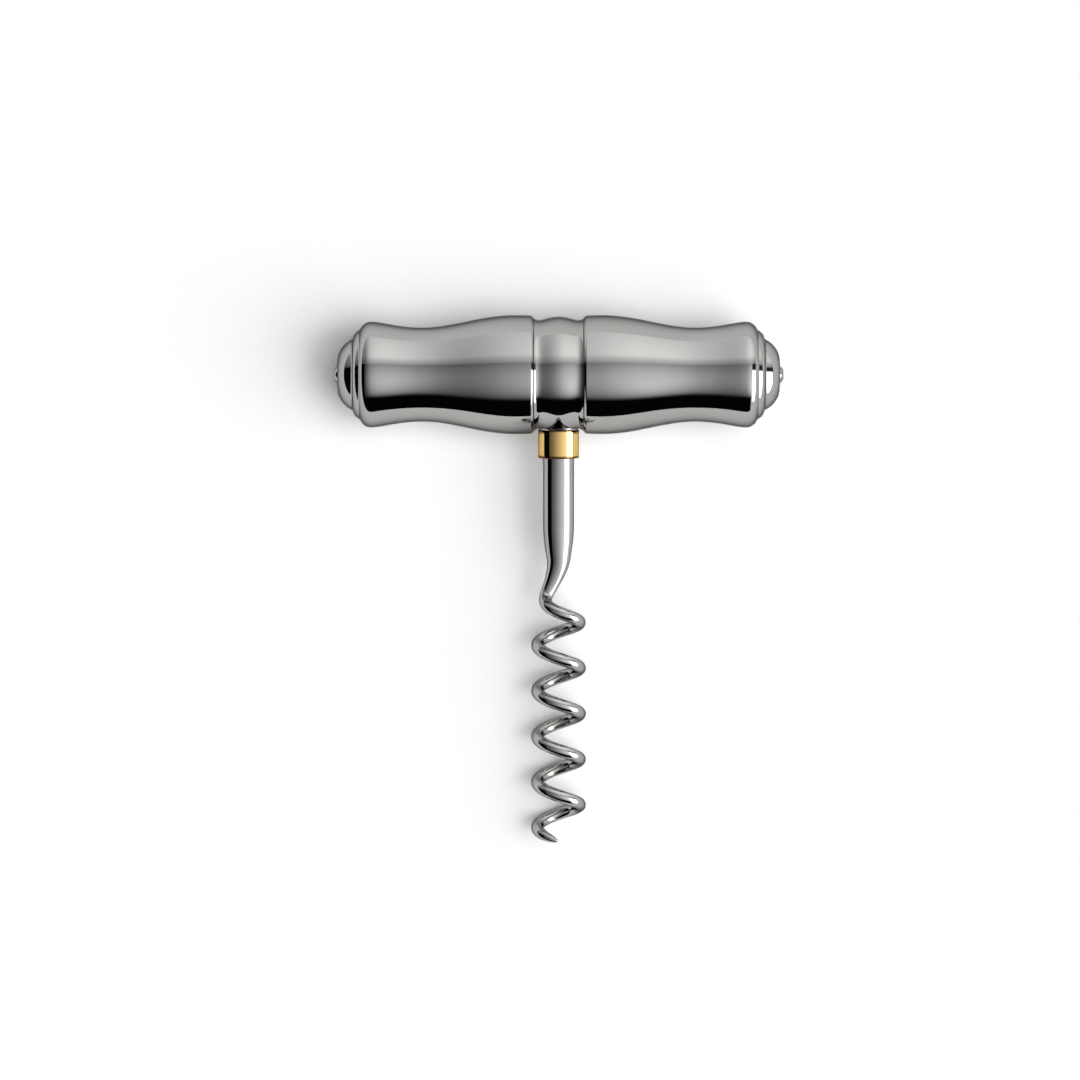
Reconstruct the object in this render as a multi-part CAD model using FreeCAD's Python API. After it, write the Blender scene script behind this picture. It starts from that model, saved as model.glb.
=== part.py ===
import FreeCAD, Part
import math
import os

from FreeCAD import Vector

# A direct-pull corkscrew: a turned handle across the top of a one-piece steel worm.
# All lengths are millimetres. The handle lies along X. "Along" is measured from the
# handle's middle, and "down" from the handle's axis towards the worm's point.

# Grips, two equal turned sleeves: shoulder, crest, waist and rounded rim from the hub outwards
grip_length = 34.8
grip_bore_radius = 6.0
grip_crest_radius = 11.91
grip_crest_run = 3.7
grip_shoulder_run = 0.6
grip_shoulder_drop = 0.09
grip_waist_run = 22.4
grip_waist_radius = 9.41
grip_rim_run = 2.2
grip_rim_radius = 10.6
grip_end_radius = 9.15

# Hub, the turned middle of the handle: a bead between two coves, each a drop below the grips' crest
hub_half_width = 4.9
hub_bead_drop = 0.31
hub_cove_drop = 1.03
hub_cove_run = 1.0
hub_edge_drop = 0.71

# End caps, on a spigot: a ring that rises softly from the grip's rim, and a low dome beyond a soft valley
cap_foot_step = 0.03
cap_foot_run = 0.25
cap_foot_drop = 0.25
cap_ring_width = 1.8
cap_valley_radius = 6.99
cap_valley_run = 0.5
cap_valley_depth = 0.81
cap_dome_height = 2.7
cap_face_radius = 3.0
spigot_length = 5.0

# Tie rod, with a peened head at each end
rod_radius = 1.5
rod_head_radius = 1.75
rod_head_sink = 0.6
rod_crown_height = 0.74
rod_crown_flat_radius = 0.8

# Ferrule, seated on a spot face that is cut into the hub's bead
ferrule_radius = 4.1
ferrule_length = 5.7
ferrule_lower_rounding = 0.6
ferrule_upper_rounding = 0.2
spot_face_depth = 0.7
spot_face_margin = 0.2

# Worm: tang and straight shank, whose length is measured from the handle's axis
shank_radius = 3.1
shank_straight = 30.0
tang_past_axis = 4.3
tang_chamfer = 0.4
tang_bore_gap = 0.2

# Worm: the lead, where the shank thins, swings to the left and starts to turn
thinning_length = 16.5
swing_delay = 6.5
swing_length = 14.0
turning_delay = 15.12
turning_ease = 0.8

# Worm: the coil and its point
coil_length = 48.28
coil_radius = 4.25
coil_pitch = 9.2
wire_radius = 1.25
point_length = 2.3
point_fullness = 1.7

# Radial play where one turned piece slides into another
slip_clearance = 0.05

# How far each curve of the handle stays level at its ends, as a share of its run
bead_level_share = 0.41
cove_level_share = 0.18
crest_level_share = 0.38
waist_inner_level_share = 0.33
waist_outer_level_share = 0.456
rim_level_share = 0.204

# How steeply the curves of the end caps and of the rod's crown fall at their ends, in degrees
foot_fall = 66
valley_fall = 27
ring_edge_fall = 72
dome_edge_fall = 90
crown_foot_fall = 40
crown_edge_fall = 83

# How far those curves keep their falls, as a share of their length
soft_keep = 0.34
ring_keep = 0.4
ring_edge_keep = 0.2
dome_keep = 0.28
dome_edge_keep = 0.39

# How finely the wire is lofted, and the step that finds which way it heads
sections_per_turn = 24
point_sections = 7
heading_step = 0.01

# Sizes that follow from the ones above
grip_shoulder_radius = grip_crest_radius - grip_shoulder_drop
hub_bead_radius = grip_crest_radius - hub_bead_drop
hub_cove_radius = grip_crest_radius - hub_cove_drop
hub_edge_radius = grip_crest_radius - hub_edge_drop
rod_hole_radius = rod_radius + slip_clearance
spigot_radius = grip_bore_radius - slip_clearance
tang_bore_radius = shank_radius + slip_clearance
ferrule_seat_down = hub_bead_radius - spot_face_depth
grip_end_along = hub_half_width + grip_length
cap_valley_along = grip_end_along + cap_ring_width
cap_face_along = cap_valley_along + cap_dome_height
swing_start = shank_straight + swing_delay
turning_start = shank_straight + turning_delay
worm_reach = turning_start + coil_length
point_start = worm_reach - point_length

handle_axis = Vector(1, 0, 0)
worm_axis = Vector(0, -1, 0)
centre = Vector(0, 0, 0)
full_turn = 2 * math.pi


class Outline:
    """Half-section of a turned piece: distances along an axis, and radii about it."""

    def __init__(self, axis, along, radius):
        self.axis = axis
        self.edges = []
        self.start = self.point(along, radius)
        self.end = self.start

    def point(self, along, radius):
        return self.axis * along + Vector(0, 0, radius)

    def add(self, curve, end):
        self.edges.append(curve.toShape())
        self.end = end

    def line(self, along, radius):
        end = self.point(along, radius)
        self.add(Part.LineSegment(self.end, end), end)

    def arc(self, middle, end):
        end = self.point(*end)
        self.add(Part.Arc(self.end, self.point(*middle), end), end)

    def curve(self, first_handle, second_handle, end):
        end = self.point(*end)
        bezier = Part.BezierCurve()
        bezier.setPoles([self.end, self.point(*first_handle), self.point(*second_handle), end])
        self.add(bezier, end)

    def falling_curve(self, leaving, end, arriving):
        """A curve given, at each of its ends, by its fall in degrees and how far it keeps it, as a share."""
        end = self.point(*end)
        chord = (end - self.end).Length
        handles = []
        for fall, share in (leaving, arriving):
            fall = math.radians(fall)
            handles.append(self.point(math.cos(fall), -math.sin(fall)) * (share * chord))
        bezier = Part.BezierCurve()
        bezier.setPoles([self.end, self.end + handles[0], end - handles[1], end])
        self.add(bezier, end)

    def turned(self):
        self.add(Part.LineSegment(self.end, self.start), self.start)
        face = Part.Face(Part.Wire(self.edges))
        return face.revolve(centre, self.axis, 360)


def turned_round(shape):
    """The same shape at the handle's other end."""
    return shape.copy().rotate(centre, worm_axis, 180)


def level_arc_middle(level, other):
    """The middle of an arc that is level at one end and reaches the other."""
    run = other[0] - level[0]
    rise = other[1] - level[1]
    radius = (run ** 2 + rise ** 2) / (2 * abs(rise))
    half_turn = math.atan2(abs(rise), abs(run))
    return (level[0] + math.copysign(radius * math.sin(half_turn), run),
            level[1] + math.copysign(radius * (1 - math.cos(half_turn)), rise))


def make_hub():
    cove_along = hub_half_width - hub_cove_run
    spigot_end = hub_half_width + spigot_length
    outline = Outline(handle_axis, 0, rod_hole_radius)
    outline.line(0, hub_bead_radius)
    outline.curve((bead_level_share * cove_along, hub_bead_radius),
                  ((1 - cove_level_share) * cove_along, hub_cove_radius),
                  (cove_along, hub_cove_radius))
    edge = (hub_half_width, hub_edge_radius)
    outline.arc(level_arc_middle((cove_along, hub_cove_radius), edge), edge)
    outline.line(hub_half_width, spigot_radius)
    outline.line(spigot_end, spigot_radius)
    outline.line(spigot_end, rod_hole_radius)
    right_half = outline.turned()
    hub = right_half.fuse(turned_round(right_half)).removeSplitter()
    tang_bore = Part.makeCylinder(tang_bore_radius, ferrule_seat_down + tang_past_axis + tang_bore_gap,
                                  worm_axis * ferrule_seat_down, -worm_axis)
    spot_face = Part.makeCylinder(ferrule_radius + spot_face_margin, hub_bead_radius,
                                  worm_axis * ferrule_seat_down, worm_axis)
    return hub.cut(tang_bore.fuse(spot_face))


def make_right_grip():
    crest_along = hub_half_width + grip_crest_run
    waist_along = hub_half_width + grip_waist_run
    rim_along = grip_end_along - grip_rim_run
    outline = Outline(handle_axis, hub_half_width, grip_bore_radius)
    outline.line(hub_half_width, hub_edge_radius)
    shoulder = (hub_half_width + grip_shoulder_run, grip_shoulder_radius)
    outline.line(*shoulder)
    crest = (crest_along, grip_crest_radius)
    outline.arc(level_arc_middle(crest, shoulder), crest)
    fall = waist_along - crest_along
    outline.curve((crest_along + crest_level_share * fall, grip_crest_radius),
                  (waist_along - waist_inner_level_share * fall, grip_waist_radius),
                  (waist_along, grip_waist_radius))
    climb = rim_along - waist_along
    rim = (rim_along, grip_rim_radius)
    outline.curve((waist_along + waist_outer_level_share * climb, grip_waist_radius),
                  (rim_along - rim_level_share * climb, grip_rim_radius),
                  rim)
    end = (grip_end_along, grip_end_radius)
    outline.arc(level_arc_middle(rim, end), end)
    outline.line(grip_end_along, grip_bore_radius)
    return outline.turned()


def make_right_end_cap():
    spigot_start = grip_end_along - spigot_length
    foot_radius = grip_end_radius - cap_foot_step
    ring_start = (grip_end_along + cap_foot_run, foot_radius - cap_foot_drop)
    ring_edge = (cap_valley_along - cap_valley_run, cap_valley_radius + cap_valley_depth)
    outline = Outline(handle_axis, spigot_start, rod_hole_radius)
    outline.line(spigot_start, spigot_radius)
    outline.line(grip_end_along, spigot_radius)
    outline.line(grip_end_along, foot_radius)
    outline.falling_curve((foot_fall, soft_keep), ring_start, (valley_fall, soft_keep))
    outline.falling_curve((valley_fall, ring_keep), ring_edge, (ring_edge_fall, ring_edge_keep))
    outline.falling_curve((ring_edge_fall, soft_keep), (cap_valley_along, cap_valley_radius),
                          (valley_fall, soft_keep))
    outline.falling_curve((valley_fall, dome_keep), (cap_face_along, cap_face_radius),
                          (dome_edge_fall, dome_edge_keep))
    outline.line(cap_face_along, rod_head_radius)
    outline.line(cap_face_along - rod_head_sink, rod_hole_radius)
    return outline.turned()


def make_tie_rod():
    crown_along = cap_face_along + rod_crown_height
    outline = Outline(handle_axis, 0, 0)
    outline.line(0, rod_radius)
    outline.line(cap_face_along - rod_head_sink, rod_radius)
    outline.line(cap_face_along, rod_head_radius)
    outline.falling_curve((crown_foot_fall, soft_keep), (crown_along, rod_crown_flat_radius),
                          (crown_edge_fall, soft_keep))
    outline.line(crown_along, 0)
    right_half = outline.turned()
    return right_half.fuse(turned_round(right_half)).removeSplitter()


def make_ferrule():
    lower_end = ferrule_seat_down + ferrule_length
    arc_share = 1 - math.sqrt(0.5)
    outline = Outline(worm_axis, ferrule_seat_down, tang_bore_radius)
    outline.line(ferrule_seat_down, ferrule_radius - ferrule_upper_rounding)
    outline.arc((ferrule_seat_down + arc_share * ferrule_upper_rounding,
                 ferrule_radius - arc_share * ferrule_upper_rounding),
                (ferrule_seat_down + ferrule_upper_rounding, ferrule_radius))
    outline.line(lower_end - ferrule_lower_rounding, ferrule_radius)
    outline.arc((lower_end - arc_share * ferrule_lower_rounding,
                 ferrule_radius - arc_share * ferrule_lower_rounding),
                (lower_end, ferrule_radius - ferrule_lower_rounding))
    outline.line(lower_end, tang_bore_radius)
    return outline.turned()


def eased(share):
    """A smooth step from 0 to 1, level at both ends."""
    share = min(max(share, 0.0), 1.0)
    return share * share * (3 - 2 * share)


def wire_angle(down):
    """How far the wire has turned past the left side, in radians. It starts gently."""
    past_start = (down - turning_start) / turning_ease
    turning = max(past_start, 0) + math.log1p(math.exp(-abs(past_start)))
    return full_turn * turning_ease / coil_pitch * turning


def wire_centre(down):
    """The middle of the wire. The coil is left-handed: left, top, right, bottom going down."""
    swing = coil_radius * eased((down - swing_start) / swing_length)
    angle = wire_angle(down)
    return worm_axis * down + Vector(-swing * math.cos(angle), 0, swing * math.sin(angle))


def wire_thickness(down):
    """The radius of the steel at a place down the worm."""
    thinning = eased((down - shank_straight) / thinning_length)
    radius = shank_radius + (wire_radius - shank_radius) * thinning
    into_point = (down - point_start) / point_length
    if into_point <= 0:
        return radius
    return radius * math.sqrt(max(0.0, 1 - into_point ** point_fullness))


def round_sections(places):
    """Round sections along the wire, each square to it and not twisted against the last."""
    side = handle_axis
    sections = []
    for down in places:
        middle = wire_centre(down)
        heading = wire_centre(down + heading_step) - wire_centre(down - heading_step)
        heading.normalize()
        side = (side - heading * side.dot(heading)).normalize()
        circle = Part.Circle(middle, heading, wire_thickness(down))
        drawn_from = circle.value(0) - middle
        turn = math.atan2(side.dot(heading.cross(drawn_from)), side.dot(drawn_from))
        section = Part.Wire(circle.toShape())
        section.rotate(middle, heading, math.degrees(turn))
        sections.append(section)
    return sections


def make_lead_and_coil():
    """The thinning lead and the coil, lofted a turn at a time, and the rounded point."""
    run = point_start - shank_straight
    count = math.ceil(run / coil_pitch * sections_per_turn)
    places = [shank_straight + run * i / count for i in range(count + 1)]
    for i in range(1, point_sections):
        places.append(point_start + point_length * math.sin(full_turn / 4 * i / point_sections))
    sections = round_sections(places)
    lofts = []
    for first in range(0, count, sections_per_turn):
        last = min(first + sections_per_turn, count)
        lofts.append(Part.makeLoft(sections[first:last + 1], True))
    tip = Part.Vertex(wire_centre(worm_reach))
    lofts.append(Part.makeLoft(sections[count:] + [tip], True))
    return lofts


def make_worm():
    outline = Outline(worm_axis, -tang_past_axis, 0)
    outline.line(-tang_past_axis, shank_radius - tang_chamfer)
    outline.line(-tang_past_axis + tang_chamfer, shank_radius)
    outline.line(shank_straight, shank_radius)
    outline.line(shank_straight, 0)
    shank = outline.turned()
    eye = Part.makeCylinder(rod_hole_radius, 2 * hub_half_width, handle_axis * -hub_half_width, handle_axis)
    return shank.cut(eye).fuse(make_lead_and_coil())


def rest_tilt():
    """The slope, in degrees, at which the grips' crests and the coil's last full turn lie level."""
    bottom = -full_turn / 4
    last_bottom = bottom + full_turn * math.floor((wire_angle(point_start) - bottom) / full_turn)
    contact_down = point_start - coil_pitch * (wire_angle(point_start) - last_bottom) / full_turn
    coil_outer_radius = coil_radius + wire_radius
    to_contact = math.hypot(contact_down, coil_outer_radius)
    return math.degrees(math.asin(grip_crest_radius / to_contact)
                        - math.atan2(coil_outer_radius, contact_down))


def main():
    right_grip = make_right_grip()
    right_end_cap = make_right_end_cap()
    pieces = {
        "hub": make_hub(),
        "right_grip": right_grip,
        "left_grip": turned_round(right_grip),
        "right_end_cap": right_end_cap,
        "left_end_cap": turned_round(right_end_cap),
        "tie_rod": make_tie_rod(),
        "ferrule": make_ferrule(),
        "worm": make_worm(),
    }
    # The corkscrew lies as it comes to rest, on its two grips and the last turn of its coil
    for shape in pieces.values():
        shape.rotate(centre, handle_axis, rest_tilt())
    box = Part.makeCompound(list(pieces.values())).optimalBoundingBox(False, False)
    for name, shape in pieces.items():
        shape.translate(Vector(0, -(box.YMin + box.YMax) / 2, -box.ZMin))
        shape.exportStep("parts/" + name + ".step")
        print(name, len(shape.Solids), round(shape.Volume, 1), shape.isValid())
    print("rest tilt", rest_tilt(), "size", box.XLength, box.YLength, box.ZLength)


os.makedirs("parts", exist_ok=True)
main()
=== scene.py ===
import math

import bmesh
import bpy
from mathutils import Matrix, Vector
from mathutils.geometry import interpolate_bezier


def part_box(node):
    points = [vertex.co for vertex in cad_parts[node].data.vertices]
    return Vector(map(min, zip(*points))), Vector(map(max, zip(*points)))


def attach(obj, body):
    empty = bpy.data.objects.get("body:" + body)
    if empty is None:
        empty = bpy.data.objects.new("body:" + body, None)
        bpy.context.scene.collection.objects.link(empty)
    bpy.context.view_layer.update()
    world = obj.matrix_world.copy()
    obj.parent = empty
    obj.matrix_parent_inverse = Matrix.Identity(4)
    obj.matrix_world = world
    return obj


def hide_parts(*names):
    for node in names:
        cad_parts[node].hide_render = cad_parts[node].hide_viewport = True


# A direct-pull corkscrew with a turned steel handle and a brass ferrule, lying on a pale floor.
# All lengths are metres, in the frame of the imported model. Pieces are drawn with the handle along X
# and the worm running down -Y, and are then laid at the slope at which the corkscrew rests.
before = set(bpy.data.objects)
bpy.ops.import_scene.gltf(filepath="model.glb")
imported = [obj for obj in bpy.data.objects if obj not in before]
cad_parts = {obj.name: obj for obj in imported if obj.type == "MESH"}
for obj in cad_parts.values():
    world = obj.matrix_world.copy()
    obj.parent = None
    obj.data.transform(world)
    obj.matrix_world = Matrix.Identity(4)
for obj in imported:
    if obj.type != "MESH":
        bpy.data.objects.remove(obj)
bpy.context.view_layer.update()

# Sizes of the handle: the part's source's own, apart from the ferrule's two ends and its roundings
grip_length = 0.0348
grip_bore_radius = 0.006
grip_crest_radius = 0.01191
grip_crest_run = 0.0037
grip_shoulder_run = 0.0006
grip_shoulder_radius = 0.01182
grip_waist_run = 0.0224
grip_waist_radius = 0.00941
grip_rim_run = 0.0022
grip_rim_radius = 0.0106
grip_end_radius = 0.00915
hub_half_width = 0.0049
hub_bead_radius = 0.0116
hub_cove_radius = 0.01088
hub_cove_run = 0.001
hub_edge_radius = 0.0112
cap_foot_step = 0.00003
cap_foot_run = 0.00025
cap_foot_drop = 0.00025
cap_ring_width = 0.0018
cap_valley_radius = 0.00699
cap_valley_run = 0.0005
cap_valley_depth = 0.00081
cap_dome_height = 0.0027
cap_face_radius = 0.003
spigot_length = 0.005
spigot_radius = 0.00595
past_hub_down = hub_bead_radius * 1.2
rod_radius = 0.0015
rod_hole_radius = 0.00155
rod_head_radius = 0.00175
rod_head_sink = 0.0006
rod_crown_height = 0.00074
rod_crown_flat_radius = 0.0008
ferrule_radius = 0.0041
ferrule_lower_rounding = 0.0003
ferrule_upper_rounding = 0.0001
ferrule_top_down = 0.0110
ferrule_end_down = 0.0167

# The thin steel collar that shows between the hub's spot face and the brass, narrowing towards the brass
spot_face_radius = 0.0045
spot_face_down = 0.0105
collar_root_down = 0.0100
collar_radius = 0.0040
collar_end_down = 0.01073
collar_foot_radius = 0.00385

# Sizes of the worm
shank_radius = 0.0031
shank_straight = 0.030
tang_past_axis = 0.0043
tang_chamfer = 0.0004
tang_bore_radius = 0.00315
tang_bore_end = 0.0045
thinning_length = 0.0165
swing_start = 0.0365
swing_length = 0.014
turning_start = 0.04512
turning_ease = 0.0008
coil_radius = 0.00425
coil_pitch = 0.0092
wire_radius = 0.00125
point_length = 0.0023
point_fullness = 1.7
worm_reach = 0.0934
point_start = worm_reach - point_length

# How far each curve of the handle stays level at its ends, as a share of its run
bead_level_share = 0.41
cove_level_share = 0.18
crest_level_share = 0.38
waist_inner_level_share = 0.33
waist_outer_level_share = 0.456
rim_level_share = 0.204

# How steeply the curves of the end caps and of the rod's crown fall at their ends, in degrees
foot_fall = 66
valley_fall = 27
ring_edge_fall = 72
dome_edge_fall = 90
crown_foot_fall = 40
crown_edge_fall = 83

# How steeply the grips' shoulders, rounded a little by polishing, climb at the hub and at their crest
shoulder_foot_climb = 60
shoulder_edge_climb = 32

# How far those curves keep their falls, as a share of their length
soft_keep = 0.34
ring_keep = 0.4
ring_edge_keep = 0.2
dome_keep = 0.28
dome_edge_keep = 0.39

# Every sharp corner of the turned pieces is broken by this much, and points this near to it are left out
edge_break = 0.00005
cleared_length = edge_break * 1.2
flat_corner = math.radians(165)

# How finely the pieces are made
turning_steps = 224
rod_turning_steps = 96
curve_step = 0.00035
line_step = curve_step * 4
least_curve_steps = 12
least_arc_steps = 6
corner_steps = 4
corner_halvings = 24
wire_sides = 64
stretch_sections = 48
seam_width = 1e-8
stretch_seam = 2e-7
sharp_angle = math.radians(40)
shank_step = 0.002
lead_step = 0.00012
coil_steps_per_turn = 112
point_steps = 18
heading_step = 0.00001

# Where the corkscrew rests
rest_tilt = math.radians(4.147862)
rod_low, rod_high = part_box("tie_rod")
handle_middle = (rod_low + rod_high) / 2
rest_place = Matrix.Translation(handle_middle) @ Matrix.Rotation(rest_tilt, 4, "X")


class Outline:
    """Half-section of a turned piece: points (along the axis, radius), and which of them are corners."""

    def __init__(self, along, radius):
        self.points = [Vector((along, radius))]
        self.corners = {0}

    def reach(self, points, corner=True):
        self.points.extend(points)
        if corner:
            self.corners.add(len(self.points) - 1)

    def line(self, along, radius, corner=True):
        start = self.points[-1]
        end = Vector((along, radius))
        count = max(1, round((end - start).length / line_step))
        self.reach([start.lerp(end, (i + 1) / count) for i in range(count)], corner)

    def curve(self, first_handle, second_handle, end, corner=True):
        start = self.points[-1]
        end = Vector(end)
        count = max(least_curve_steps, round((end - start).length / curve_step))
        drawn = interpolate_bezier(start.to_3d(), Vector(first_handle).to_3d(), Vector(second_handle).to_3d(),
                                   end.to_3d(), count + 1)
        self.reach([point.to_2d() for point in drawn[1:]], corner)

    def falling_curve(self, leaving, end, arriving, corner=False):
        """A curve given at both ends by its fall in degrees and how far it keeps it, as a share."""
        start = self.points[-1]
        end = Vector(end)
        handles = []
        for fall, share in (leaving, arriving):
            fall = math.radians(fall)
            handles.append(Vector((math.cos(fall), -math.sin(fall))) * (share * (end - start).length))
        self.curve(start + handles[0], end - handles[1], end, corner)

    def level_arc(self, end, level_at_end=False, corner=True):
        """An arc to the end that is level where it starts, or where it ends."""
        start = self.points[-1]
        end = Vector(end)
        level, other = (end, start) if level_at_end else (start, end)
        run, rise = other - level
        radius = (run ** 2 + rise ** 2) / (2 * abs(rise))
        sweep = 2 * math.atan2(abs(rise), abs(run))
        count = max(least_arc_steps, round(radius * sweep / curve_step))
        drawn = []
        for i in range(count + 1):
            turn = sweep * i / count
            drawn.append(level + Vector((math.copysign(radius * math.sin(turn), run),
                                         math.copysign(radius * (1 - math.cos(turn)), rise))))
        if level_at_end:
            drawn.reverse()
        self.reach(drawn[1:], corner)

    def broken(self, closed):
        """The points with every corner cut back and rounded. The two ends of an open outline are kept."""
        points = self.points
        ends = () if closed else (0, len(points) - 1)
        corners = self.corners.difference(ends)
        made = []
        for i, point in enumerate(points):
            if i not in corners:
                if i in ends or all((point - points[c]).length > cleared_length for c in corners):
                    made.append(point)
                continue
            before = cut_back(points, i, -1, closed)
            after = cut_back(points, i, 1, closed)
            if (before - point).angle(after - point) > flat_corner:
                made.extend([before, after])
                continue
            for k in range(corner_steps + 1):
                share = k / corner_steps
                made.append(before.lerp(point, share).lerp(point.lerp(after, share), share))
        return made


def cut_back(points, start, step, closed):
    """The place on the outline, before or after one of its corners, to which the corner is broken."""
    corner = points[start]
    inside = corner
    place = start
    while True:
        place = (place + step) % len(points) if closed else place + step
        outside = points[place]
        if (outside - corner).length >= edge_break:
            break
        inside = outside
    low, high = 0.0, 1.0
    for _ in range(corner_halvings):
        middle = (low + high) / 2
        if (inside.lerp(outside, middle) - corner).length < edge_break:
            low = middle
        else:
            high = middle
    return inside.lerp(outside, high)


def finished_mesh(name, bm, seam=seam_width):
    """Closes a bmesh's seams and poles, points its faces outwards, and makes a smooth-shaded mesh of it."""
    bmesh.ops.remove_doubles(bm, verts=bm.verts, dist=seam)
    bmesh.ops.recalc_face_normals(bm, faces=bm.faces)
    mesh = bpy.data.meshes.new(name)
    bm.to_mesh(mesh)
    bm.free()
    mesh.shade_smooth()
    return mesh


def turned(name, points, axis, closed=True, steps=turning_steps):
    """A solid of revolution from the points of an outline."""
    axis = Vector(axis)
    bm = bmesh.new()
    verts = [bm.verts.new(axis * point.x + Vector((0, 0, point.y))) for point in points]
    edges = [bm.edges.new(pair) for pair in zip(verts, verts[1:])]
    if closed:
        edges.append(bm.edges.new((verts[-1], verts[0])))
    bmesh.ops.spin(bm, geom=verts + edges, cent=(0, 0, 0), axis=axis, angle=2 * math.pi,
                   steps=steps, use_merge=True)
    return finished_mesh(name, bm)


def mirrored(mesh, name):
    """The same mesh at the handle's other end."""
    copy = mesh.copy()
    copy.name = name
    copy.transform(Matrix.Rotation(math.pi, 4, "Y"))
    return copy


def placed(mesh, material, slot, *nodes):
    """Lays a finished mesh at its rest place as a piece that stands for CAD nodes."""
    mesh.transform(rest_place)
    mesh.materials.append(material)
    piece = bpy.data.objects.new(mesh.name, mesh)
    bpy.context.scene.collection.objects.link(piece)
    mesh.set_sharp_from_angle(angle=sharp_angle)
    weighted = piece.modifiers.new("even_shading", "WEIGHTED_NORMAL")
    weighted.mode = "FACE_AREA"
    weighted.keep_sharp = True
    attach(piece, "root")
    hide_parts(*nodes)
    return piece


def cut_away(name, mesh, *cutters, joined=None):
    """The mesh with closed cutter meshes taken out of it, and then one closed mesh joined to it."""
    body = bpy.data.objects.new("uncut", mesh)
    bpy.context.scene.collection.objects.link(body)
    spare = [body]
    steps = [(cutter, "DIFFERENCE") for cutter in cutters]
    if joined:
        steps.append((joined, "UNION"))
    for shape, operation in steps:
        tool = bpy.data.objects.new("cutter", shape)
        bpy.context.scene.collection.objects.link(tool)
        spare.append(tool)
        cut = body.modifiers.new("cut", "BOOLEAN")
        cut.operation = operation
        cut.solver = "EXACT"
        cut.object = tool
    result = bpy.data.meshes.new_from_object(body.evaluated_get(bpy.context.evaluated_depsgraph_get()))
    result.name = name
    for item in spare:
        bpy.data.objects.remove(item)
    return result


def cylinder(radius, start, end, steps):
    """A closed round bar between two points, to cut with."""
    start = Vector(start)
    along = Vector(end) - start
    bm = bmesh.new()
    matrix = Matrix.Translation(start + along / 2) @ along.to_track_quat("Z", "Y").to_matrix().to_4x4()
    bmesh.ops.create_cone(bm, cap_ends=True, segments=steps, radius1=radius, radius2=radius,
                          depth=along.length, matrix=matrix)
    return finished_mesh("cutter", bm)


def hub_collar_mesh():
    """The thin collar on the hub's underside that the brass is pushed up to."""
    outline = Outline(collar_root_down, tang_bore_radius)
    outline.line(collar_root_down, collar_radius)
    outline.line(collar_end_down, collar_radius)
    outline.line(ferrule_top_down, collar_foot_radius)
    outline.line(ferrule_top_down, tang_bore_radius)
    return turned("hub_collar", outline.broken(True), (0, -1, 0))


def hub_mesh():
    cove_along = hub_half_width - hub_cove_run
    spigot_end = hub_half_width + spigot_length
    outline = Outline(-spigot_end, rod_hole_radius)
    outline.line(-spigot_end, spigot_radius)
    outline.line(-hub_half_width, spigot_radius)
    outline.line(-hub_half_width, hub_edge_radius)
    outline.level_arc((-cove_along, hub_cove_radius), level_at_end=True, corner=False)
    outline.curve((-(1 - cove_level_share) * cove_along, hub_cove_radius),
                  (-bead_level_share * cove_along, hub_bead_radius),
                  (0, hub_bead_radius), corner=False)
    outline.curve((bead_level_share * cove_along, hub_bead_radius),
                  ((1 - cove_level_share) * cove_along, hub_cove_radius),
                  (cove_along, hub_cove_radius), corner=False)
    outline.level_arc((hub_half_width, hub_edge_radius))
    outline.line(hub_half_width, spigot_radius)
    outline.line(spigot_end, spigot_radius)
    outline.line(spigot_end, rod_hole_radius)
    uncut = turned("hub_uncut", outline.broken(True), (1, 0, 0))
    tang_bore = cylinder(tang_bore_radius, (0, tang_bore_end, 0), (0, -past_hub_down, 0), wire_sides)
    spot_face = cylinder(spot_face_radius, (0, -spot_face_down, 0), (0, -past_hub_down, 0), turning_steps)
    return cut_away("polished_hub", uncut, tang_bore, spot_face, joined=hub_collar_mesh())


def right_grip_mesh():
    crest_along = hub_half_width + grip_crest_run
    waist_along = hub_half_width + grip_waist_run
    end_along = hub_half_width + grip_length
    rim_along = end_along - grip_rim_run
    fall = waist_along - crest_along
    climb = rim_along - waist_along
    outline = Outline(hub_half_width, grip_bore_radius)
    outline.line(hub_half_width, hub_edge_radius)
    outline.falling_curve((-shoulder_foot_climb, soft_keep),
                          (hub_half_width + grip_shoulder_run, grip_shoulder_radius),
                          (-shoulder_edge_climb, soft_keep), corner=True)
    outline.level_arc((crest_along, grip_crest_radius), level_at_end=True, corner=False)
    outline.curve((crest_along + crest_level_share * fall, grip_crest_radius),
                  (waist_along - waist_inner_level_share * fall, grip_waist_radius),
                  (waist_along, grip_waist_radius), corner=False)
    outline.curve((waist_along + waist_outer_level_share * climb, grip_waist_radius),
                  (rim_along - rim_level_share * climb, grip_rim_radius),
                  (rim_along, grip_rim_radius), corner=False)
    outline.level_arc((end_along, grip_end_radius))
    outline.line(end_along, grip_bore_radius)
    return turned("polished_right_grip", outline.broken(True), (1, 0, 0))


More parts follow.
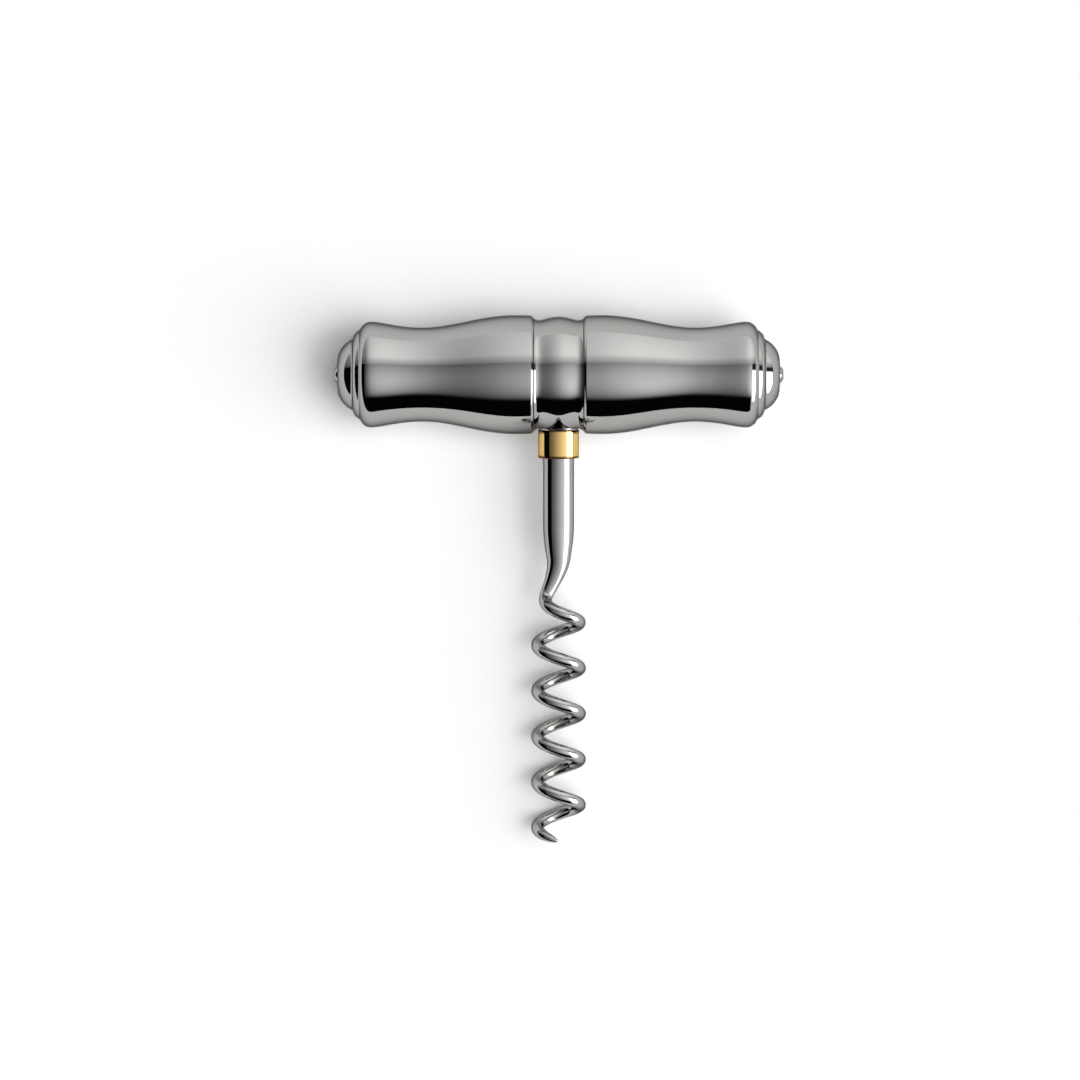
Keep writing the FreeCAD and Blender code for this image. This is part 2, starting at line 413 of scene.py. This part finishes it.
def right_end_cap_mesh():
    end_along = hub_half_width + grip_length
    spigot_start = end_along - spigot_length
    valley_along = end_along + cap_ring_width
    face_along = valley_along + cap_dome_height
    foot_radius = grip_end_radius - cap_foot_step
    outline = Outline(spigot_start, rod_hole_radius)
    outline.line(spigot_start, spigot_radius)
    outline.line(end_along, spigot_radius)
    outline.line(end_along, foot_radius)
    outline.falling_curve((foot_fall, soft_keep), (end_along + cap_foot_run, foot_radius - cap_foot_drop),
                          (valley_fall, soft_keep))
    outline.falling_curve((valley_fall, ring_keep),
                          (valley_along - cap_valley_run, cap_valley_radius + cap_valley_depth),
                          (ring_edge_fall, ring_edge_keep))
    outline.falling_curve((ring_edge_fall, soft_keep), (valley_along, cap_valley_radius),
                          (valley_fall, soft_keep))
    outline.falling_curve((valley_fall, dome_keep), (face_along, cap_face_radius),
                          (dome_edge_fall, dome_edge_keep))
    outline.line(face_along, rod_head_radius)
    outline.line(face_along - rod_head_sink, rod_hole_radius)
    return turned("polished_right_end_cap", outline.broken(True), (1, 0, 0))


def tie_rod_mesh():
    face_along = hub_half_width + grip_length + cap_ring_width + cap_dome_height
    crown_along = face_along + rod_crown_height
    outline = Outline(-crown_along, 0)
    outline.line(-crown_along, rod_crown_flat_radius, corner=False)
    outline.falling_curve((-crown_edge_fall, soft_keep), (-face_along, rod_head_radius),
                          (-crown_foot_fall, soft_keep))
    outline.line(-face_along + rod_head_sink, rod_radius)
    outline.line(face_along - rod_head_sink, rod_radius)
    outline.line(face_along, rod_head_radius, corner=False)
    outline.falling_curve((crown_foot_fall, soft_keep), (crown_along, rod_crown_flat_radius),
                          (crown_edge_fall, soft_keep))
    outline.line(crown_along, 0)
    return turned("peened_tie_rod", outline.broken(False), (1, 0, 0), closed=False,
                  steps=rod_turning_steps)


def ferrule_mesh():
    outline = Outline(ferrule_top_down, tang_bore_radius)
    outline.line(ferrule_top_down, ferrule_radius - ferrule_upper_rounding, corner=False)
    outline.level_arc((ferrule_top_down + ferrule_upper_rounding, ferrule_radius), level_at_end=True,
                      corner=False)
    outline.line(ferrule_end_down - ferrule_lower_rounding, ferrule_radius, corner=False)
    outline.level_arc((ferrule_end_down, ferrule_radius - ferrule_lower_rounding), corner=False)
    outline.line(ferrule_end_down, tang_bore_radius)
    return turned("turned_ferrule", outline.broken(True), (0, -1, 0))


def eased(share):
    """A smooth step from 0 to 1, level at both ends."""
    share = min(max(share, 0.0), 1.0)
    return share * share * (3 - 2 * share)


def wire_angle(down):
    """How far round the wire has turned at this distance down: evenly, after a short ease at the start."""
    past_start = (down - turning_start) / turning_ease
    turning = max(past_start, 0) + math.log1p(math.exp(-abs(past_start)))
    return 2 * math.pi * turning_ease / coil_pitch * turning


def wire_centre(down):
    """The middle of the wire, which swings out from the shank's axis and turns left-handed round it."""
    swing = coil_radius * eased((down - swing_start) / swing_length)
    angle = wire_angle(down)
    return Vector((-swing * math.cos(angle), -down, swing * math.sin(angle)))


def wire_thickness(down):
    """The wire's radius, which shrinks from the shank's to the coil's and again in the rounded point."""
    thinning = eased((down - shank_straight) / thinning_length)
    radius = shank_radius + (wire_radius - shank_radius) * thinning
    into_point = (down - point_start) / point_length
    if into_point <= 0:
        return radius
    return radius * math.sqrt(max(0.0, 1 - into_point ** point_fullness))


def spread(start, end, step):
    """Even places after the start, up to and including the end, no further apart than the step."""
    count = math.ceil((end - start) / step)
    return [start + (end - start) * (i + 1) / count for i in range(count)]


def worm_places():
    """Where the worm's round sections lie: tang, shank, thinning lead, coil and rounded point."""
    places = [-tang_past_axis, -tang_past_axis + tang_chamfer]
    places += spread(places[-1], shank_straight, shank_step)
    places += spread(shank_straight, turning_start, lead_step)
    places += spread(turning_start, point_start, coil_pitch / coil_steps_per_turn)
    for i in range(1, point_steps):
        places.append(point_start + point_length * math.sin(math.pi / 2 * i / point_steps))
    return places


def section_frames(places):
    """For each place, the matrix that puts a unit circle square to the wire without a twist."""
    frames = []
    side = Vector((1, 0, 0))
    for down in places:
        heading = (wire_centre(down + heading_step) - wire_centre(down - heading_step)).normalized()
        side = (side - heading * side.dot(heading)).normalized()
        turn = Matrix((side, heading.cross(side), heading)).transposed().to_4x4()
        radius = shank_radius - tang_chamfer if down == places[0] else wire_thickness(down)
        frames.append(Matrix.Translation(wire_centre(down)) @ turn @ Matrix.Scale(radius, 4))
    return frames


def drawn_stretch(frames, closed_start, tip):
    """A stretch of wire: a circle drawn from frame to frame, and to the tip where there is one."""
    bm = bmesh.new()
    bmesh.ops.create_circle(bm, cap_ends=False, segments=wire_sides, radius=1, matrix=frames[0])
    ring = list(bm.edges)
    if closed_start:
        bmesh.ops.edgeloop_fill(bm, edges=ring)
    for last, new in zip(frames, frames[1:]):
        made = bmesh.ops.extrude_edge_only(bm, edges=ring)["geom"]
        verts = [item for item in made if isinstance(item, bmesh.types.BMVert)]
        ring = [item for item in made if isinstance(item, bmesh.types.BMEdge)]
        bmesh.ops.transform(bm, matrix=new @ last.inverted(), verts=verts)
    if tip:
        made = bmesh.ops.extrude_edge_only(bm, edges=ring)["geom"]
        verts = [item for item in made if isinstance(item, bmesh.types.BMVert)]
        bmesh.ops.pointmerge(bm, verts=verts, merge_co=tip)
    mesh = bpy.data.meshes.new("stretch")
    bm.to_mesh(mesh)
    bm.free()
    return mesh


def worm_mesh():
    frames = section_frames(worm_places())
    whole = bmesh.new()
    for first in range(0, len(frames) - 1, stretch_sections):
        last = min(first + stretch_sections, len(frames) - 1)
        tip = wire_centre(worm_reach) if last == len(frames) - 1 else None
        whole.from_mesh(drawn_stretch(frames[first:last + 1], first == 0, tip))
    uncut = finished_mesh("worm_uncut", whole, stretch_seam)
    eye = cylinder(rod_hole_radius, (-hub_half_width, 0, 0), (hub_half_width, 0, 0), wire_sides)
    return cut_away("polished_worm", uncut, eye)


# Finishes: polished metal, with the marks of polishing across it in lines and patches per metre
lines_per_metre = 9000.0
line_drift = 160.0
patches_per_metre = 90.0
worn_from, worn_to = 0.35, 0.65
dull_from, dull_to = 0.4, 0.75
clean_steel = (0.416, 0.410, 0.400)
dull_handle_steel = (0.396, 0.390, 0.380)
dull_rod_steel = (0.37, 0.363, 0.352)
dull_worm_steel = (0.392, 0.386, 0.376)
clean_brass = (0.76, 0.545, 0.225)
dull_brass = (0.70, 0.475, 0.175)
# The brown that the brass is darkened to at the ferrule's two ends, and how far in from each end it reaches
brass_end_brown = (0.16, 0.075, 0.03)
upper_brown_reach = 0.0004
lower_brown_reach = 0.0006


def new_group(name, inputs, outputs):
    """A shader node group with its inputs and outputs, and the two nodes that stand for them."""
    group = bpy.data.node_groups.new(name, "ShaderNodeTree")
    for label, kind, value in inputs:
        socket = group.interface.new_socket(name=label, in_out="INPUT", socket_type=kind)
        if value is not None:
            socket.default_value = value
    for label, kind in outputs:
        group.interface.new_socket(name=label, in_out="OUTPUT", socket_type=kind)
    return group, group.nodes.new("NodeGroupInput"), group.nodes.new("NodeGroupOutput")


def feed(tree, socket, value):
    """Links a socket to another one, or sets it to a value."""
    if isinstance(value, bpy.types.NodeSocket):
        tree.links.new(value, socket)
    else:
        socket.default_value = value


def math_node(tree, operation, *values):
    node = tree.nodes.new("ShaderNodeMath")
    node.operation = operation
    for socket, value in zip(node.inputs, values):
        feed(tree, socket, value)
    return node.outputs[0]


def noise_node(tree, vector, scale, detail, roughness=0.5):
    node = tree.nodes.new("ShaderNodeTexNoise")
    feed(tree, node.inputs["Scale"], scale)
    node.inputs["Detail"].default_value = detail
    node.inputs["Roughness"].default_value = roughness
    tree.links.new(vector, node.inputs["Vector"])
    return node.outputs["Fac"]


def range_node(tree, value, low, high, to_low, to_high):
    """The value taken from one range to another, and held at its ends."""
    node = tree.nodes.new("ShaderNodeMapRange")
    tree.links.new(value, node.inputs["Value"])
    for label, number in (("From Min", low), ("From Max", high), ("To Min", to_low), ("To Max", to_high)):
        node.inputs[label].default_value = number
    return node.outputs["Result"]


def polish_group():
    """What a polishing wheel leaves on a turned piece: fine lines round its axis, and cloudy patches."""
    tree, given, result = new_group(
        "polishing_marks",
        [("Vector", "NodeSocketVector", None),
         ("Lines per Metre", "NodeSocketFloat", lines_per_metre),
         ("Cloud Scale", "NodeSocketFloat", patches_per_metre)],
        [("Lines", "NodeSocketFloat"), ("Clouds", "NodeSocketFloat")])
    parts = tree.nodes.new("ShaderNodeSeparateXYZ")
    tree.links.new(given.outputs["Vector"], parts.inputs[0])
    squares = math_node(tree, "ADD",
                        math_node(tree, "MULTIPLY", parts.outputs["Y"], parts.outputs["Y"]),
                        math_node(tree, "MULTIPLY", parts.outputs["Z"], parts.outputs["Z"]))
    distance = math_node(tree, "SQRT", squares)
    across = math_node(tree, "ADD", parts.outputs["X"], distance)
    join = tree.nodes.new("ShaderNodeCombineXYZ")
    tree.links.new(math_node(tree, "MULTIPLY", across, given.outputs["Lines per Metre"]), join.inputs["X"])
    tree.links.new(math_node(tree, "MULTIPLY", parts.outputs["Y"], line_drift), join.inputs["Y"])
    tree.links.new(math_node(tree, "MULTIPLY", parts.outputs["Z"], line_drift), join.inputs["Z"])
    tree.links.new(noise_node(tree, join.outputs[0], 1.0, 3.0, 0.65), result.inputs["Lines"])
    clouds = noise_node(tree, given.outputs["Vector"], given.outputs["Cloud Scale"], 4.0)
    tree.links.new(clouds, result.inputs["Clouds"])
    return tree


def polished_metal(name, base, dull, edge, smooth_roughness, worn_roughness, marks, turn, line_depth):
    """Polished metal whose shine and tone change a little with the marks of polishing round its axis."""
    material = bpy.data.materials.new(name)
    material.use_nodes = True
    tree = material.node_tree
    shader = tree.nodes["Principled BSDF"]
    shader.inputs["Metallic"].default_value = 1.0
    shader.inputs["Specular Tint"].default_value = (*edge, 1)
    coordinates = tree.nodes.new("ShaderNodeTexCoord")
    mapping = tree.nodes.new("ShaderNodeMapping")
    mapping.vector_type = "TEXTURE"
    mapping.inputs["Location"].default_value = handle_middle
    mapping.inputs["Rotation"].default_value = turn
    tree.links.new(coordinates.outputs["Object"], mapping.inputs["Vector"])
    group = tree.nodes.new("ShaderNodeGroup")
    group.node_tree = marks
    tree.links.new(mapping.outputs["Vector"], group.inputs["Vector"])
    lines = group.outputs["Lines"]
    clouds = group.outputs["Clouds"]
    wear = math_node(tree, "MULTIPLY_ADD", lines, 0.5, math_node(tree, "MULTIPLY", clouds, 0.5))
    tree.links.new(range_node(tree, wear, worn_from, worn_to, smooth_roughness, worn_roughness),
                   shader.inputs["Roughness"])
    tone = tree.nodes.new("ShaderNodeMix")
    tone.data_type = "RGBA"
    tone.inputs["A"].default_value = (*base, 1)
    tone.inputs["B"].default_value = (*dull, 1)
    tree.links.new(range_node(tree, clouds, dull_from, dull_to, 0.0, 1.0), tone.inputs["Factor"])
    tree.links.new(tone.outputs["Result"], shader.inputs["Base Color"])
    bump = tree.nodes.new("ShaderNodeBump")
    bump.inputs["Strength"].default_value = 1.0
    bump.inputs["Distance"].default_value = line_depth
    tree.links.new(lines, bump.inputs["Height"])
    tree.links.new(bump.outputs["Normal"], shader.inputs["Normal"])
    return material


def brown_ferrule_ends(material):
    """Darkens the brass to brown at the ferrule's two ends, with a ragged edge. Mapped X runs down its axis."""
    tree = material.node_tree
    shader = tree.nodes["Principled BSDF"]
    clouds = tree.nodes["Group"].outputs["Clouds"]
    parts = tree.nodes.new("ShaderNodeSeparateXYZ")
    tree.links.new(tree.nodes["Mapping"].outputs["Vector"], parts.inputs[0])
    ragged = math_node(tree, "MULTIPLY_ADD", math_node(tree, "SUBTRACT", clouds, 0.5), upper_brown_reach,
                       parts.outputs["X"])
    upper = range_node(tree, ragged, ferrule_top_down + upper_brown_reach / 2,
                       ferrule_top_down + upper_brown_reach, 1.0, 0.0)
    lower = range_node(tree, ragged, ferrule_end_down - lower_brown_reach,
                       ferrule_end_down - lower_brown_reach / 2, 0.0, 1.0)
    mask = math_node(tree, "MAXIMUM", upper, lower)
    polished = shader.inputs["Base Color"].links[0].from_socket
    browned = tree.nodes.new("ShaderNodeMix")
    browned.data_type = "RGBA"
    tree.links.new(mask, browned.inputs["Factor"])
    tree.links.new(polished, browned.inputs["A"])
    browned.inputs["B"].default_value = (*brass_end_brown, 1)
    tree.links.new(browned.outputs["Result"], shader.inputs["Base Color"])


marks = polish_group()
along_handle = (rest_tilt, 0, 0)
along_worm = (0, rest_tilt, math.radians(-90))
handle_steel = polished_metal("turned_handle_steel", clean_steel, dull_handle_steel, (0.20, 0.20, 0.20),
                              0.02, 0.05, marks, along_handle, 2e-8)
rod_steel = polished_metal("peened_rod_steel", clean_steel, dull_rod_steel, (0.10, 0.10, 0.10),
                           0.06, 0.14, marks, along_handle, 2e-7)
worm_steel = polished_metal("drawn_worm_steel", clean_steel, dull_worm_steel, (0.15, 0.15, 0.15),
                            0.03, 0.06, marks, along_worm, 2e-8)
ferrule_brass = polished_metal("ferrule_brass", clean_brass, dull_brass, (0.50, 0.42, 0.32),
                               0.03, 0.08, marks, along_worm, 5e-8)
# The ferrule's two ends are darkened to brown
brown_ferrule_ends(ferrule_brass)

# The pieces
right_grip = right_grip_mesh()
left_grip = mirrored(right_grip, "polished_left_grip")
right_end_cap = right_end_cap_mesh()
left_end_cap = mirrored(right_end_cap, "polished_left_end_cap")
placed(hub_mesh(), handle_steel, "handle_steel", "hub")
placed(right_grip, handle_steel, "handle_steel", "right_grip")
placed(left_grip, handle_steel, "handle_steel", "left_grip")
placed(right_end_cap, handle_steel, "handle_steel", "right_end_cap")
placed(left_end_cap, handle_steel, "handle_steel", "left_end_cap")
placed(tie_rod_mesh(), rod_steel, "rod_steel", "tie_rod")
ferrule = placed(ferrule_mesh(), ferrule_brass, "ferrule_brass", "ferrule")
# In the photograph the hub's underside shows pale floor where the brass would be mirrored
ferrule.visible_glossy = False
placed(worm_mesh(), worm_steel, "worm_steel", "worm")

# Studio: cards on a dome round the corkscrew, given in degrees from straight up, and seen in the metal only.
# Their brightness is given as the polished steel shows it.
dome_radius = 1.5
steel_shows = 0.405
floor_half = 30.0
floor_white = 0.90
floor_lift = 0.09
fill_light = 0.17


def dome_point(across, away):
    """The place on the dome at these degrees from straight up, to the right and away from the worm."""
    polar = math.hypot(across, away)
    if polar < 1e-6:
        return handle_middle + Vector((0, 0, dome_radius))
    flat = math.sin(math.radians(polar)) * dome_radius / polar
    return handle_middle + Vector((across * flat, away * flat, math.cos(math.radians(polar)) * dome_radius))


def ramp_node(tree, value, stops, low, high):
    """Brightness read from stops given in degrees."""
    node = tree.nodes.new("ShaderNodeValToRGB")
    tree.links.new(value, node.inputs["Fac"])
    elements = node.color_ramp.elements
    while len(elements) > 1:
        elements.remove(elements[-1])
    for i, (degrees, glow) in enumerate(stops):
        place = (degrees - low) / (high - low)
        element = elements[0] if i == 0 else elements.new(place)
        element.position = place
        element.color = (glow, glow, glow, 1)
    return node.outputs["Color"]


def dome_card(name, left, right, near, far, across_stops, away_stops, far_stops=None, far_mix=None):
    """A card whose brightness is a product of two ramps. A second one across may take over further away."""
    bm = bmesh.new()
    bm.loops.layers.uv.new("card")
    bmesh.ops.create_grid(bm, x_segments=48, y_segments=48, size=1, calc_uvs=True)
    for vert in bm.verts:
        across = left + (right - left) * (vert.co.x + 1) / 2
        away = near + (far - near) * (vert.co.y + 1) / 2
        vert.co = dome_point(across, away)
    mesh = bpy.data.meshes.new(name)
    bm.to_mesh(mesh)
    bm.free()
    card = bpy.data.objects.new(name, mesh)
    bpy.context.scene.collection.objects.link(card)
    card.visible_camera = False
    card.visible_diffuse = False
    card.visible_shadow = False
    card.visible_transmission = False
    card.visible_volume_scatter = False
    material = bpy.data.materials.new(name)
    material.use_nodes = True
    tree = material.node_tree
    tree.nodes.remove(tree.nodes["Principled BSDF"])
    place = tree.nodes.new("ShaderNodeUVMap")
    place.uv_map = "card"
    parts = tree.nodes.new("ShaderNodeSeparateXYZ")
    tree.links.new(place.outputs["UV"], parts.inputs[0])
    across_glow = ramp_node(tree, parts.outputs["X"], across_stops, left, right)
    if far_stops:
        far_glow = ramp_node(tree, parts.outputs["X"], far_stops, left, right)
        mix = tree.nodes.new("ShaderNodeMix")
        mix.data_type = "RGBA"
        tree.links.new(ramp_node(tree, parts.outputs["Y"], far_mix, near, far), mix.inputs["Factor"])
        tree.links.new(across_glow, mix.inputs["A"])
        tree.links.new(far_glow, mix.inputs["B"])
        across_glow = mix.outputs["Result"]
    away_glow = ramp_node(tree, parts.outputs["Y"], away_stops, near, far)
    product = math_node(tree, "MULTIPLY", across_glow, away_glow)
    emission = tree.nodes.new("ShaderNodeEmission")
    tree.links.new(math_node(tree, "DIVIDE", product, steel_shows), emission.inputs["Strength"])
    tree.links.new(emission.outputs[0], tree.nodes["Material Output"].inputs["Surface"])
    mesh.materials.append(material)


dome_card("overhead_panel", -54, 47, -54, 20.5,
          [(-54, 0.02), (-52, 0.05), (-46, 0.073), (-38, 0.095), (-30, 0.122), (-23, 0.157), (-15, 0.203),
           (-8, 0.254), (0, 0.290), (7, 0.35), (14, 0.40), (21, 0.45), (29, 0.51), (37, 0.56), (47, 0.63)],
          [(-54, 0.01), (-52, 0.04), (-50, 0.12), (-47.5, 0.27), (-44, 0.45), (-38, 0.655), (-29, 0.86),
           (-20, 0.98), (-12, 1.0), (-3, 0.95), (5.5, 0.84), (14, 0.70), (17, 0.64), (19, 0.58), (20.5, 0.60)],
          [(-54, 0.015), (-52, 0.04), (-46, 0.06), (-38, 0.085), (-30, 0.105), (-23, 0.14), (-15, 0.19),
           (-8, 0.245), (0, 0.285), (7, 0.355), (14, 0.42), (21, 0.50), (29, 0.62), (36, 0.76), (47, 0.80)],
          [(-54, 1.0), (-36, 1.0), (-8, 0.0), (20.5, 0.0)])
dome_card("backdrop", -110, 110, 20.5, 110,
          [(-110, 0.09), (-60, 0.16), (-50, 0.16), (-40, 0.17), (-30, 0.27), (-20, 0.35), (-10, 0.43), (0, 0.49),
           (10, 0.57), (20, 0.62), (30, 0.65), (40, 0.65), (50, 0.61), (60, 0.57), (70, 0.51), (110, 0.40)],
          [(20.5, 0.36), (22, 0.48), (26, 0.61), (30, 0.73), (34, 0.88), (38, 1.01), (44, 1.03), (56, 1.02),
           (72, 0.99), (80, 0.98), (90, 0.965), (110, 0.965)],
          [(-110, 0.42), (-60, 0.43), (-40, 0.44), (0, 0.46), (40, 0.47), (110, 0.45)],
          [(20.5, 0), (45, 0), (75, 0.35), (84, 0.5), (90, 1), (110, 1)])
dome_card("softbox", 47, 87, -58, 9,
          [(47, 1.8), (87, 1.8)],
          [(-58, 0.2), (-56, 1.0), (5, 1.0), (9, 0.1)])
dome_card("right_dark_bar", 47, 87, 9, 20.5,
          [(47, 0.012), (60, 0.01), (75, 0.02), (87, 0.03)],
          [(9, 1.0), (20.5, 1.0)])
dome_card("left_flag", -110, -54, -110, 20.5, [(-110, 0.001), (-54, 0.001)], [(-110, 1.0), (20.5, 1.0)])
dome_card("front_flag", -54, 38, -110, -54, [(-54, 0.001), (38, 0.001)], [(-110, 1.0), (-54, 1.0)])
dome_card("softbox_foot", 87, 110, -58, 20.5, [(87, 0.01), (110, 0.01)], [(-58, 1.0), (20.5, 1.0)])


def light_path_white(tree):
    """1 for what the camera sees directly, in metal or through glass, and 0 for light on other things."""
    path = tree.nodes.new("ShaderNodeLightPath")
    seen = math_node(tree, "MAXIMUM", path.outputs["Is Camera Ray"], path.outputs["Is Glossy Ray"])
    return math_node(tree, "MAXIMUM", seen, path.outputs["Is Transmission Ray"])


def make_floor():
    bm = bmesh.new()
    bmesh.ops.create_grid(bm, x_segments=1, y_segments=1, size=floor_half)
    mesh = bpy.data.meshes.new("floor")
    bm.to_mesh(mesh)
    bm.free()
    floor = bpy.data.objects.new("floor", mesh)
    bpy.context.scene.collection.objects.link(floor)
    material = bpy.data.materials.new("white_table")
    material.use_nodes = True
    tree = material.node_tree
    shader = tree.nodes["Principled BSDF"]
    shader.inputs["Base Color"].default_value = (floor_white, floor_white, floor_white, 1)
    shader.inputs["Roughness"].default_value = 1.0
    shader.inputs["Specular IOR Level"].default_value = 0.0
    shader.inputs["Emission Color"].default_value = (1, 1, 1, 1)
    tree.links.new(math_node(tree, "MULTIPLY", light_path_white(tree), floor_lift),
                   shader.inputs["Emission Strength"])
    mesh.materials.append(material)


def make_world():
    world = bpy.data.worlds.new("white_studio")
    bpy.context.scene.world = world
    world.use_nodes = True
    tree = world.node_tree
    background = tree.nodes["Background"]
    background.inputs["Color"].default_value = (1, 1, 1, 1)
    tree.links.new(range_node(tree, light_path_white(tree), 0.0, 1.0, fill_light, 1.0),
                   background.inputs["Strength"])


def soft_sun(name, strength, softness, polar, azimuth):
    """Light from far off, from this far below straight up and this far round from the right."""
    data = bpy.data.lights.new(name, "SUN")
    data.energy = strength
    data.angle = math.radians(softness)
    lamp = bpy.data.objects.new(name, data)
    lamp.visible_glossy = False
    polar = math.radians(polar)
    azimuth = math.radians(azimuth)
    level = math.sin(polar)
    source = Vector((level * math.cos(azimuth), level * math.sin(azimuth), math.cos(polar)))
    lamp.rotation_euler = source.to_track_quat("Z", "Y").to_euler()
    lamp.location = source * 2
    bpy.context.scene.collection.objects.link(lamp)


make_floor()
make_world()
soft_sun("overhead_light", 1.36, 40, 15, -10)
soft_sun("key_light", 1.84, 50, 43, -20)

# Camera: straight down, the worm's point towards the foot of the picture
camera_across = -0.00372
camera_away = 0.00782
camera_height = 1.29
camera_lens = 215
camera_data = bpy.data.cameras.new("camera")
camera_data.sensor_width = 36
camera_data.lens = camera_lens
camera_data.clip_end = 100
camera = bpy.data.objects.new("camera", camera_data)
camera.location = (camera_across, camera_away, handle_middle.z + camera_height)
bpy.context.scene.collection.objects.link(camera)
bpy.context.scene.camera = camera

bpy.context.scene.view_settings.view_transform = "Standard"
